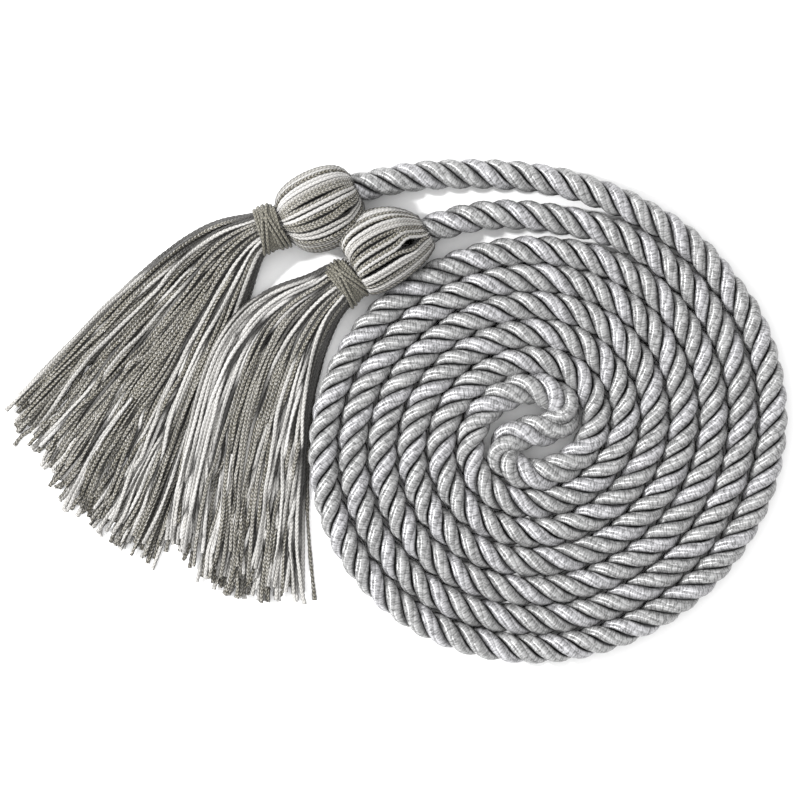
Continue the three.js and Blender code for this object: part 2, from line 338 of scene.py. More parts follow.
def makeSatin(v):
    material, tree, shader = newMaterial("cordSatin", v["roughness"], Specular_IOR_Level=v["specular"],
                                         Metallic=v["metallic"], Anisotropic=v["anisotropic"])
    lengthwise = add(tree, "ShaderNodeTangent", direction_type="UV_MAP", uv_map="UVMap")
    tree.links.new(lengthwise.outputs["Tangent"], shader.inputs["Tangent"])
    wound = placed(tree, woundYarns, {
        "Along": attribute(tree, "along"),
        "Round X": attribute(tree, "roundX"),
        "Round Y": attribute(tree, "roundY"),
        "Yarns": v["yarns"],
        "Pitch": v["ribPitch"] * mm,
        "Waver": v["waver"],
        "Stroke Scale": v["strokeScale"],
    })
    base = blended(tree, attribute(tree, "shade"), v["grey"], v["pale"])
    streak = remap(tree, wound["Streak"], *v["streakRange"], 0.0, v["streakShade"])
    toned = blended(tree, streak, base, v["darkToneAndShade"])
    rib = remap(tree, wound["Rib"], *v["ribRange"], v["ribShade"], 0.0)
    ribbed = blended(tree, rib, toned, v["darkToneAndShade"])
    # painted shade: darker in the grooves between the yarns
    grooveShade = remap(tree, wound["Yarn"], *v["yarnRange"], v["yarnShade"], 0.0)
    grooveShaded = blended(tree, grooveShade, ribbed, v["darkToneAndShade"])
    # painted shade: the base colour goes near black in the slots between strands and low down between turns
    creviceShade = attribute(tree, "creviceShade")
    tree.links.new(blended(tree, creviceShade, grooveShaded, v["creviceShade"]), shader.inputs["Base Color"])
    dull = remap(tree, creviceShade, 0.0, 1.0, v["roughness"], v["creviceRoughness"])
    tree.links.new(dull, shader.inputs["Roughness"])
    yarns = calc(tree, "MULTIPLY", wound["Yarn"], v["yarnRelief"])
    relief = calc(tree, "MULTIPLY_ADD", wound["Rib"], v["ribRelief"], yarns)
    bump = add(tree, "ShaderNodeBump", {"Height": relief, "Strength": 1.0, "Distance": mm})
    tree.links.new(bump.outputs["Normal"], shader.inputs["Normal"])
    return material


def makeThread(name, v, olive, pale):
    material, tree, shader = newMaterial(name, v["roughness"], Sheen_Weight=v["sheen"])
    chain = placed(tree, chainStitch, {
        "Along": attribute(tree, "along"),
        "Across": attribute(tree, "across"),
        "Stitch": v["loops"] * mm,
        "Slant": v["slant"],
    })
    loop = chain["Loop"]
    shade = attribute(tree, "shade")
    base = blended(tree, shade, olive, pale)
    spot = add(tree, "ShaderNodeTexCoord").outputs["Object"]
    noise = {"Vector": spot, "Scale": v["fleckScale"], "Detail": 1.0}
    grain = add(tree, "ShaderNodeTexNoise", noise).outputs["Fac"]
    fleck = remap(tree, grain, *v["fleckRange"], 0.0, v["tipShade"])
    # painted highlight: the crest of each stitch loop is lightened towards the pale colour
    high = remap(tree, loop, *v["tipRange"], 0.0, v["loopHighlight"])
    plain = calc(tree, "MULTIPLY_ADD", shade, -v["paleCalm"], 1.0)
    fleckAndHighlight = calc(tree, "MULTIPLY", calc(tree, "MAXIMUM", high, fleck), plain)
    flecked = blended(tree, fleckAndHighlight, base, pale)
    # painted shade: darker in the gaps between stitch loops
    weight = calc(tree, "MULTIPLY", plain, v["gapShade"])
    gap = calc(tree, "MULTIPLY", remap(tree, loop, *v["gapRange"], 1.0, 0.0), weight)
    looped = blended(tree, gap, flecked, v["gap"])
    # painted shade: darker along each thread's edges, less on pale threads
    edge = calc(tree, "MULTIPLY", remap(tree, chain["Edge"], *v["edgeRange"], v["edgeShade"], 0.0),
                calc(tree, "MULTIPLY_ADD", shade, -v["paleEdgeCalm"], 1.0))
    # painted shade: from threads lying over this one, and along its edges
    dark = calc(tree, "MAXIMUM", attribute(tree, "cover"), edge)
    tree.links.new(blended(tree, dark, looped, v["gap"]), shader.inputs["Base Color"])
    relief = {"Height": loop, "Strength": v["bump"], "Distance": v["relief"] * mm}
    tree.links.new(add(tree, "ShaderNodeBump", relief).outputs["Normal"], shader.inputs["Normal"])
    return material


cordSatin = makeSatin(satin)
tasselThread = makeThread("tasselThread", thread, thread["olive"], thread["pale"])
bindingThread = makeThread("bindingThread", thread, thread["boundOlive"], thread["boundPale"])
print("materials made")


# the cord: its route follows its solids, with the fold drawn slightly fuller
cord = {
    "radius": 3.8,
    "diameter": 7,
    "strands": 3,
    "strandRadius": 1.82,
    "foldSwell": 0.14,  # how much the tight fold fattens the strands
    "foldReach": (10.0, 16.0),  # the swell is full within the first, and gone past the second
    "clearance": 0.02,
    "curveSteps": 8,
    "layPitch": 17.1,
    "layStart": 0.6,
    "step": 0.95,
    "sides": 20,
    "yarnTurn": 0.06,
    "fold": [(3.4, 9.9), (6.0, 8.4), (7.9, 5.8), (7.3, 2.9), (4.6, 0.9), (0.7, 0.0), (-3.0, -0.7),
             (-6.2, -2.4), (-7.6, -5.2), (-6.6, -8.0), (-3.8, -9.9)],
    "backLead": [(48.1, 36.6), (44.0, 41.8), (39.4, 46.3), (34.3, 50.3), (29.0, 53.4), (23.6, 56.3),
                 (17.4, 58.9), (11.4, 60.9), (5.5, 62.4), (-0.5, 63.4), (-7.0, 64.0), (-13.5, 64.3),
                 (-20.0, 64.2), (-26.5, 63.9), (-33.0, 63.1), (-39.0, 61.9)],
    "frontLead": [(48.4, 22.0), (45.5, 27.7), (42.0, 32.8), (38.0, 37.4), (33.4, 41.6), (28.4, 45.2),
                  (23.0, 48.2), (17.4, 50.4), (11.6, 51.9), (5.6, 53.0), (-0.4, 53.8), (-6.4, 54.1),
                  (-12.4, 53.8), (-17.6, 52.9), (-22.2, 51.6)],
    "socketDepth": 3.7,
    "paleUpTo": 0.1,  # the share of the strands that counts as the pale one
    "unroll": 40.0,
}
creviceShading = {  # painted shade in the slots between strands and between turns, its reach given as shares of the cord's radius
    "depth": (0.7, 0.79),
    "height": (0.75, 1.15),
    "beside": (0.9, 1.5),
}
coil = {
    "innerRadius": 6.4,
    "turnPitch": 7.41,
    "ovalShare": 0.04,
    "ovalAngle": 22.5,
    "topShare": 0.026,
    "foldBulge": 2.4,
    "foldBulgeAngle": 40,
    "foldBulgeTurns": 6.5,
    "start": 90,
    "frontEnd": 1098,
    "backEnd": 1290,
    "step": 6,
}

# the tassels, as their solids have them
head = {
    "length": 19.6,
    "depth": 14,
    "mouthWidth": 9.4,
    "mouthHeight": 3.78,
    "ribShare": 0.035,
    "sections": [(0, 0, 0), (0.05, 0.42, 0), (0.14, 0.7, 0), (0.3, 0.93, 0), (0.5, 1, 0), (0.68, 0.95, 0),
                 (0.84, 0.74, 0.2), (0.94, 0.4, 0.7), (1, 0, 1)],  # share along, swell and lift
}
neck = {"width": 10, "depth": 8, "lift": 1.3, "bindingLength": 6, "bindingSetback": 0.9}
neckHeight = neck["depth"] / 2 + neck["lift"]
skirtColumns = ("across", "leave", "lie", "run", "length", "over")
tassels = {
    "back": {
        "mouth": (-44.6, 60.4),
        "headHeading": 206.4,
        "headBow": -1.1,
        "headShift": 0.0,
        "headWidth": 19.8,
        "neckHeading": 197.4,
        "skirt": [(0.66, 178, 227, 0.2, 1.04, 0), (0.36, 195, 232.5, 0.18, 1.025, 0),
                  (0, 211, 238, 0.17, 1.02, 0), (-0.36, 226, 245, 0.17, 1.035, 0),
                  (-0.66, 240, 252.5, 0.17, 1.04, 0)],
        "flare": (0.0, 2.0),  # how far the first and last threads swing out past the neck
        "loose": {},  # thread number, counted back from the last, and how far its end swings out
        "loops": [(52, 2.5, 0.85), (92, 3.5, 0.85), (110, 2.0, 0.25)],  # thread number, reach and shade
        "paleShare": 0.34,
        "headRuns": ((1, 1, 2, 3), (1, 2, 2, 3)),  # threads side by side, olive and pale
        "seed": 11,
        "eye": {"angle": 116, "along": 0.22, "push": 3, "spanAngle": 16, "spanMouth": 0.08, "spanNeck": 0.1},
    },
    "front": {
        "mouth": (-27.0, 50.0),
        "headHeading": 211.5,
        "headBow": 2.1,
        "headShift": 3.6,
        "headWidth": 19.4,
        "neckHeading": 221,
        "skirt": [(0.66, 195, 257.5, 0.34, 1.08, 1.2), (0.36, 205, 257.5, 0.28, 1.06, 0.7),
                  (0, 215, 260, 0.24, 1.05, 0.2), (-0.36, 224, 263.5, 0.22, 1, 0),
                  (-0.66, 231, 266, 0.22, 0.96, 0)],
        "flare": (4.5, 0.6),
        "loose": {-1: -6.5, -2: -4.0, -4: -2.0},
        "loops": [(40, 2.0, 0.85), (90, 2.5, 0.25)],
        "paleShare": 0.58,
        "headRuns": ((1, 1, 2), (1, 1, 2, 3)),
        "seed": 23,
        "eye": {"angle": 108, "along": 0.13, "push": 9, "spanAngle": 22, "spanMouth": 0.08, "spanNeck": 0.1},
    },
}


def smoothRoute(points, steps):  # a centripetal Catmull-Rom curve through the points
    points = [np.array(p, float) for p in points]
    points = [2 * points[0] - points[1], *points, 2 * points[-1] - points[-2]]
    made = [points[1]]
    for a, b, c, d in zip(points, points[1:], points[2:], points[3:]):
        before, within, after = [max(np.linalg.norm(q - p), 1e-9) ** 0.5 for p, q in ((a, b), (b, c), (c, d))]
        leave = ((b - a) / before - (c - a) / (before + within) + (c - b) / within) * within
        reach = ((c - b) / within - (d - b) / (within + after) + (d - c) / after) * within
        for step in range(1, steps + 1):
            s = step / steps
            made.append(b + leave * s + (3 * (c - b) - 2 * leave - reach) * s ** 2
                        + (2 * (b - c) + leave + reach) * s ** 3)
    return np.array(made)


def armRoute(v, turned, end):  # a spiral arm, wound outwards from the fold
    made = []
    for wound in range(v["start"], end + 1, v["step"]):
        angle = math.radians(turned + wound)
        halfTurns = wound / 180
        oval = v["ovalShare"] * math.cos(2 * (angle - math.radians(v["ovalAngle"])))
        pitch = v["turnPitch"] * (1 + oval - v["topShare"] * math.sin(angle))
        bulge = v["foldBulge"] * math.cos(angle - math.radians(v["foldBulgeAngle"])) ** 2
        radius = v["innerRadius"] + pitch * halfTurns + bulge * max(0, 1 - halfTurns / v["foldBulgeTurns"])
        made.append((radius * math.cos(angle), radius * math.sin(angle)))
    return made


def leadEnd(v, tassel):  # the mouth of a tassel, and the cord's end inside it
    inside = Vector((*tassel["mouth"], 0)) + heading(tassel["headHeading"]) * v["socketDepth"]
    return [tassel["mouth"], tuple(inside[:2])]


def cordRoute(v):
    frontLead = (v["frontLead"] + leadEnd(v, tassels["front"]))[::-1]
    backLead = v["backLead"] + leadEnd(v, tassels["back"])
    arms = armRoute(coil, 0, coil["frontEnd"])[::-1] + v["fold"] + armRoute(coil, 180, coil["backEnd"])
    route = smoothRoute(frontLead + arms + backLead, v["curveSteps"])
    near, far = v["foldReach"]
    swell = [1 + v["foldSwell"] * min(max((far - math.hypot(x, y)) / (far - near), 0), 1) for x, y in route]
    points = [place(x, y, v["radius"] * s + v["clearance"]) for (x, y), s in zip(route, swell)]
    return points, swell


def strandCurves(tree, given):  # the strands' middle lines, laid round the cord's
    line = add(tree, "GeometryNodeMeshToCurve", {"Mesh": given["Geometry"]}).outputs[0]
    even = add(tree, "GeometryNodeResampleCurve", {"Curve": line, "Length": given["Step"]}, mode="LENGTH")
    along = stored(tree, even.outputs[0], "along", add(tree, "GeometryNodeSplineParameter").outputs["Length"])
    copies = add(tree, "GeometryNodeDuplicateElements", {"Geometry": along, "Amount": given["Strands"]},
                 domain="SPLINE")
    share = calc(tree, "DIVIDE", copies.outputs["Duplicate Index"], given["Strands"])
    turns = calc(tree, "ADD", calc(tree, "DIVIDE", named(tree, "along"), given["Lay Pitch"]), share)
    angle = calc(tree, "MULTIPLY", calc(tree, "ADD", turns, given["Lay Start"]), 2 * math.pi)
    tangent = add(tree, "GeometryNodeInputTangent").outputs[0]
    lateral = vec(tree, "NORMALIZE", vec(tree, "CROSS_PRODUCT", tuple(up), tangent))
    reach = calc(tree, "MULTIPLY", calc(tree, "SUBTRACT", given["Cord Radius"], given["Strand Radius"]),
                 named(tree, "swell"))
    sideways = scaled(tree, lateral, calc(tree, "MULTIPLY", calc(tree, "COSINE", angle), reach))
    upwards = scaled(tree, tuple(up), calc(tree, "MULTIPLY", calc(tree, "SINE", angle), reach))
    numbered = stored(tree, copies.outputs["Geometry"], "strand", share)
    turned = stored(tree, numbered, "turned", angle)
    laid = add(tree, "GeometryNodeSetPosition",
               {"Geometry": turned, "Offset": vec(tree, "ADD", sideways, upwards)}).outputs[0]
    upright = add(tree, "GeometryNodeSetCurveNormal", {"Curve": laid}, mode="Z_UP").outputs[0]
    slow = calc(tree, "MULTIPLY", named(tree, "turned"), calc(tree, "ADD", given["Yarn Turn"], 1.0))
    return add(tree, "GeometryNodeSetCurveTilt", {"Curve": upright, "Tilt": slow}).outputs[0]


def strandSkin(tree, given, curves):  # a round skin on each line, with its place round the strand kept
    circle = add(tree, "GeometryNodeCurvePrimitiveCircle",
                 {"Resolution": given["Sides"], "Radius": given["Strand Radius"]}).outputs[0]
    unit = scaled(tree, add(tree, "GeometryNodeInputPosition").outputs[0],
                  calc(tree, "DIVIDE", 1.0, given["Strand Radius"]))
    parts = add(tree, "ShaderNodeSeparateXYZ", {0: unit})
    profile = stored(tree, stored(tree, circle, "roundX", parts.outputs["X"]), "roundY", parts.outputs["Y"])
    return add(tree, "GeometryNodeCurveToMesh",
               {"Curve": curves, "Profile Curve": profile, "Scale": named(tree, "swell"),
                "Fill Caps": True}).outputs[0]


def creviceShadeShare(tree, given, v):  # how deep a spot lies between strands, or between two turns, as a mask for the cord's painted shade
    radius = given["Cord Radius"]
    axis = add(tree, "GeometryNodeProximity", {0: given["Geometry"]}, target_element="EDGES").outputs
    depth = calc(tree, "DIVIDE", axis["Distance"], radius)
    spot = add(tree, "GeometryNodeInputPosition").outputs[0]
    level = vec(tree, "MULTIPLY", vec(tree, "SUBTRACT", spot, axis["Position"]), (1.0, 1.0, 0.0))
    beside = vec(tree, "ADD", spot, scaled(tree, vec(tree, "NORMALIZE", level), radius))
    other = add(tree, "GeometryNodeProximity", {0: given["Geometry"]}, target_element="EDGES")
    tree.links.new(beside, next(s for s in other.inputs if s.type == "VECTOR" and s.enabled))
    apart = calc(tree, "DIVIDE", other.outputs["Distance"], radius)
    near = remap(tree, apart, *v["beside"], 1.0, 0.0)
    height = calc(tree, "DIVIDE", add(tree, "ShaderNodeSeparateXYZ", {0: spot}).outputs["Z"], radius)
    # painted shade between turns: low on the cord's side, where another turn lies close
    between = calc(tree, "MULTIPLY", remap(tree, height, *v["height"], 1.0, 0.0), near)
    return calc(tree, "MAXIMUM", remap(tree, depth, *v["depth"], 1.0, 0.0), between)


def finished(tree, skin, given, result):
    smooth = add(tree, "GeometryNodeSetShadeSmooth", {"Geometry": skin}).outputs[0]
    real = add(tree, "GeometryNodeRealizeInstances", {"Geometry": smooth}).outputs[0]
    slotted = add(tree, "GeometryNodeSetMaterial", {"Geometry": real, "Material": given["Material"]})
    tree.links.new(slotted.outputs[0], result["Geometry"])
    return tree


def makeRopeStrands(v):
    inputs = {"Geometry": "Geometry", "Cord Radius": "Float", "Strands": "Int", "Strand Radius": "Float",
              "Lay Pitch": "Float", "Lay Start": "Float", "Step": "Float", "Sides": "Int",
              "Yarn Turn": "Float", "Material": "Material"}
    tree, given, result = newTree("ropeStrands", inputs)
    skin = strandSkin(tree, given, strandCurves(tree, given))
    # stores the painted-shade mask for the slots between strands and between turns
    creviceShaded = stored(tree, skin, "creviceShade", creviceShadeShare(tree, given, creviceShading))
    shaded = stored(tree, creviceShaded, "shade", calc(tree, "LESS_THAN", named(tree, "strand"), v["paleUpTo"]))
    turn = calc(tree, "ARCTAN2", named(tree, "roundY"), named(tree, "roundX"))
    flat = add(tree, "ShaderNodeCombineXYZ",
               {0: calc(tree, "MULTIPLY", named(tree, "along"), v["unroll"]), 1: turn})
    mapped = add(tree, "GeometryNodeStoreNamedAttribute", {
        "Geometry": shaded, "Name": "UVMap", "Value": flat.outputs[0]}, data_type="FLOAT2", domain="CORNER")
    return finished(tree, mapped.outputs[0], given, result)


def makeCord(v):
    route, swell = cordRoute(v)
    made = dressed(lineMesh("cord", [route], swell=swell), makeRopeStrands(v), {
        "Cord Radius": v["radius"] * mm,
        "Strands": v["strands"],
        "Strand Radius": v["strandRadius"] * mm,
        "Lay Pitch": v["layPitch"] * mm,
        "Lay Start": v["layStart"],
        "Step": v["step"] * mm,
        "Sides": v["sides"],
        "Yarn Turn": v["yarnTurn"],
        "Material": cordSatin,
    })
    belongs(made, "cord_satin", "cord_coil", "cord_lead_back", "cord_lead_front")


makeCord(cord)


# the threads of the tassels and their bindings
threadNoise = {"along": 60.0, "apart": 7.31}  # how fast a thread's twist changes along it and between threads


def makeThreadSkin(v):  # a flattened chain thread round each curve
    inputs = {"Geometry": "Geometry", "Width": "Float", "Thickness": "Float", "Stitch": "Float",
              "Throw": "Float", "Twist": "Float", "Sides": "Int", "Seed": "Float"}
    tree, given, result = newTree("threadSkin", inputs)
    half = calc(tree, "MULTIPLY", given["Stitch"], 0.5)
    even = add(tree, "GeometryNodeResampleCurve", {"Curve": given["Geometry"], "Length": half}, mode="LENGTH")
    parameter = add(tree, "GeometryNodeSplineParameter")
    along = stored(tree, even.outputs[0], "along", parameter.outputs["Length"])
    odd = calc(tree, "MODULO", parameter.outputs["Index"], 2.0)
    throw = calc(tree, "MULTIPLY", calc(tree, "MULTIPLY_ADD", odd, 2.0, -1.0), given["Throw"])
    normal = add(tree, "GeometryNodeInputNormal").outputs[0]
    level = add(tree, "GeometryNodeSetCurveNormal", {"Curve": along}, mode="Z_UP").outputs[0]
    jogged = add(tree, "GeometryNodeSetPosition",
                 {"Geometry": level, "Offset": scaled(tree, normal, throw)}).outputs[0]
    spot = add(tree, "ShaderNodeCombineXYZ", {
        0: calc(tree, "MULTIPLY", named(tree, "along"), v["along"]),
        1: calc(tree, "MULTIPLY", named(tree, "thread"), v["apart"]),
        2: given["Seed"]}).outputs[0]
    noise = add(tree, "ShaderNodeTexNoise", {"Vector": spot, "Scale": 1.0, "Detail": 1.0}).outputs["Fac"]
    tilt = calc(tree, "MULTIPLY", calc(tree, "SUBTRACT", noise, 0.5), given["Twist"])
    tilted = add(tree, "GeometryNodeSetCurveTilt", {"Curve": jogged, "Tilt": tilt}).outputs[0]
    ring = {"Resolution": given["Sides"], "Radius": 1.0}
    circle = add(tree, "GeometryNodeCurvePrimitiveCircle", ring).outputs[0]
    position = add(tree, "GeometryNodeInputPosition").outputs[0]
    across = add(tree, "ShaderNodeSeparateXYZ", {0: position}).outputs["X"]
    marked = stored(tree, circle, "across", across)
    size = add(tree, "ShaderNodeCombineXYZ", {
        0: calc(tree, "MULTIPLY", given["Width"], 0.5),
        1: calc(tree, "MULTIPLY", given["Thickness"], 0.5), 2: 1.0}).outputs[0]
    profile = add(tree, "GeometryNodeTransform", {"Geometry": marked, "Scale": size}).outputs[0]
    skin = add(tree, "GeometryNodeCurveToMesh",
               {"Curve": tilted, "Profile Curve": profile, "Scale": named(tree, "swell"), "Fill Caps": True})
    tree.links.new(skin.outputs[0], result["Geometry"])
    return tree


threadSkin = makeThreadSkin(threadNoise)


def makeThreadBundle():
    inputs = {"Geometry": "Geometry", "Width": "Float", "Thickness": "Float", "Stitch": "Float",
              "Throw": "Float", "Twist": "Float", "Sides": "Int", "Seed": "Float", "Material": "Material"}
    tree, given, result = newTree("threadBundle", inputs)
    lines = add(tree, "GeometryNodeMeshToCurve", {"Mesh": given["Geometry"]}).outputs[0]
    skin = add(tree, "GeometryNodeGroup", node_tree=threadSkin)
    tree.links.new(lines, skin.inputs["Geometry"])
    for label in ("Width", "Thickness", "Stitch", "Throw", "Twist", "Sides", "Seed"):
        tree.links.new(given[label], skin.inputs[label])
    return finished(tree, skin.outputs[0], given, result)


threadBundle = makeThreadBundle()


def wrapped(name, lines, v, material, **perPoint):  # a piece of thread along each line
    runs = [[tuple(place(*point)) for point in line] for line in lines]
    return dressed(lineMesh(name, runs, **perPoint), threadBundle, {
        "Width": v["width"] * mm,
        "Thickness": v["thickness"] * mm,
        "Stitch": v["stitch"] * mm,
        "Throw": v["throw"] * mm,
        "Twist": v["twist"],
        "Sides": v["sides"],
        "Seed": v["noiseSeed"],
        "Material": material,
    })


skirt = {
    "threads": 148,
    "length": 80,
    "setback": 1.9,
    "tuck": 1.0,
    "neckWidthShare": 0.45,
    "neckDepthShare": 0.43,
    "bendReach": 0.75,
    "bendDrop": 0.6,
    "lieReach": 0.2,
    "lieDrop": 0.14,
    "endDepth": 3,
    "layerRise": 0.8,
    "bedReach": 0.35,
    "bedShare": 0.8,
    "width": 1.14,
    "thickness": 0.66,
    "stitch": 1.56,
    "throw": 0.06,
    "twist": 5.0,
    "sides": 6,
    "noiseSeed": 3.0,
    "curvePoints": 60,
    "stations": 54,
    "placeJitter": 0.012,
    "rag": 0.03,
    "longest": 1.03,
    "shortEdge": (0.97, 0.6),  # share of the length at the first threads, and where it is full again
    "waver": 1.4,
    "waverCycles": (1.0, 2.2),
    "edgeCalm": 0.85,
    "bunchTurn": 0.9,
    "bunchStay": 0.8,
    "threadTurn": 2.4,
    "turnFrom": 0.12,
    "strayShare": 0.16,
    "stray": 6.0,
    "strayRange": (0.5, 1),
    "strayFrom": 0.45,
    "strayCurve": 1.6,
    "looseFrom": 0.35,
    "looseCurve": 1.5,
    "shadeStay": 0.45,
    "paleShades": (0.7, 1.0),
    "oliveShades": (0.0, 0.3),
    "lightTip": 0.08,  # the share of the length at the cut end where the painted shade thins out, and the share of it left there
    "lightCover": 0.2,
    "neckSwell": 0.86,
    "swellReach": 0.2,
}
settling = {
    "rounds": 70,
    "quickRounds": 12,
    "spacing": 0.8,
    "push": 0.42,
    "sink": 0.06,
    "longestStep": 0.4,
    "smooth": 0.2,
    "closest": 0.05,
    "pin": 0.08,
    "edgePin": 0.3,
    "heldShare": 0.06,
    "freedShare": 0.1,
}
# painted shade on threads lying under others
covering = {"height": 0.2, "over": 0.5, "reach": 1.75, "gain": 1.4, "slack": 0.1, "most": 0.9}
looping = {
    "from": 0.66,
    "halfWidth": 0.55,
    "rise": 0.9,
    "bow": 0.6,
    "steps": 4,
    "turnPoints": 6,
    "turnFrom": 0.4,
}
headThreads = {
    "layers": [(50, 0.0, 1.02), (44, 0.8, 0.96)],  # threads round the head, inset and swell
    "width": 1.16,
    "thickness": 0.8,
    "stitch": 1.56,
    "throw": 0.05,
    "twist": 2.0,
    "sides": 6,
    "noiseSeed": 3.0,
    "stations": 40,
    "jitter": 0.32,
    "rough": 0.22,
    "roughRange": (-1, 0.6),
    "endSwell": 0.7,
    "swellRange": (0.05, 0.95),
    "waver": 0.05,
    "inside": [(0.1, -0.13, 0), (0.03, -0.1, 0), (-0.015, -0.04, 0)],  # the way out of the mouth
    "mouthShare": 0.12,
    "bound": (0.8, 2.4),  # how far the ends go on under the binding
    "boundInset": 0.5,
    "paleShades": (0.6, 1.0),
    "oliveShades": (0.0, 0.35),
}


def neckStart(v):
    start = Vector((*v["mouth"], 0)) + heading(v["headHeading"]) * head["length"]
    start += heading(v["neckHeading"]) * neck["bindingSetback"]
    start.z = neckHeight
    return start


def bezier(a, b, c, d, count):
    s = np.linspace(0, 1, count)[:, None]
    a, b, c, d = [np.array(p) for p in (a, b, c, d)]
    return a * (1 - s) ** 3 + 3 * b * s * (1 - s) ** 2 + 3 * c * s ** 2 * (1 - s) + d * s ** 3


def evenly(points, count):  # the same line with its points spread evenly
    gaps = np.linalg.norm(np.diff(points, axis=0), axis=1)
    reached = np.concatenate([[0], np.cumsum(gaps)])
    wanted = np.linspace(0, reached[-1], count)
    return np.stack([np.interp(wanted, reached, points[:, k]) for k in range(3)], axis=1)


def skirtRow(rows, share):
    table = np.array(rows, float)
    steps = np.linspace(0, 1, len(rows))
    return {name: float(np.interp(share, steps, table[:, k])) for k, name in enumerate(skirtColumns)}


def skirtLine(v, row, across, high, length):  # from inside the binding to the cut end
    s = skirt
    axis, side = heading(v["neckHeading"]), heading(v["neckHeading"] - 90)
    spread = side * (across * neck["width"] * s["neckWidthShare"])
    spread += up * (high * neck["depth"] * s["neckDepthShare"])
    inside = neckStart(v) + axis * s["tuck"] + spread
    leave = neckStart(v) + axis * neck["bindingLength"] + spread
    run = s["length"] * row["run"]
    root = leave + axis * s["setback"]
    corner = leave + heading(row["leave"]) * run
    tip = corner + heading(row["lie"]) * (length - run)
    endHeight = s["width"] / 2 + s["endDepth"] * row["over"] + (high + 1) * s["layerRise"]
    corner.z = mix(endHeight, leave.z, s["bendDrop"])
    tip.z = endHeight
    nearRoot = root.lerp(corner, s["bendReach"])
    nearTip = corner.lerp(tip, s["lieReach"])
    nearTip.z = mix(endHeight, leave.z, s["lieDrop"])
    line = np.concatenate([[inside], bezier(root, nearRoot, nearTip, tip, s["curvePoints"])])
    return evenly(line, s["stations"])


def settled(lines, floor, v):  # pushes the threads apart and lets them sink, the neck held
    moved = lines.copy()
    size = skirt["width"] * v["spacing"]
    count, stations, _ = lines.shape
    along = np.arange(stations) / (stations - 1)
    free = np.clip((along - v["heldShare"]) / v["freedShare"], 0, 1)[None, :, None]
    alone = np.eye(count, dtype=bool)[:, :, None]
    edge = np.abs(np.linspace(-1, 1, count)) ** 4
    pin = (v["pin"] + v["edgePin"] * edge)[:, None, None] * (1.0, 1.0, 0.0)  # holds the fan's outline
    for _ in range(v["rounds"]):
        along = np.gradient(moved, axis=1)
        along /= np.linalg.norm(along, axis=2, keepdims=True)
        apart = moved[:, None] - moved[None]
        apart -= (apart * along[:, None]).sum(3, keepdims=True) * along[:, None]
        distance = np.linalg.norm(apart, axis=3)
        overlap = np.where(alone, 0, np.clip(size - distance, 0, None))
        outward = apart / np.maximum(distance, v["closest"])[..., None]
        push = (outward * overlap[..., None]).sum(1) * v["push"]
        push += (lines - moved) * pin
        push[:, :, 2] -= v["sink"]
        moved += np.clip(push, -v["longestStep"], v["longestStep"]) * free
        bend = moved[:, :-2] + moved[:, 2:] - 2 * moved[:, 1:-1]
        moved[:, 1:-1] += v["smooth"] * free[:, 1:-1] * bend
        moved[:, :, 2] = np.maximum(moved[:, :, 2], floor)
    return moved


def covered(lines, v):  # how far each thread lies under others, from 0 to 1, which sets its painted shade
    apart = lines[None] - lines[:, None]
    beside = np.linalg.norm(apart[..., :2], axis=3) / skirt["width"]
    above = np.clip((apart[..., 2] - v["height"]) / v["over"], 0, 1) * np.clip(v["reach"] - beside, 0, 1)
    return np.clip(above.sum(1) * v["gain"] - v["slack"], 0, v["most"])


def past(t, start, curve=1.0):  # rises from start to the cut end
    return np.clip((t - start) / (1 - start), 0, 1) ** curve


def skirtSpots(count):  # places in the neck, spread evenly over it and sorted from side to side
    golden = math.pi * (3 - math.sqrt(5))
    spots = []
    for index in range(count):
        reach = math.sqrt((index + 0.5) / count)
        spots.append((reach * math.cos(index * golden), reach * math.sin(index * golden)))
    return sorted(spots, key=lambda spot: -spot[0])


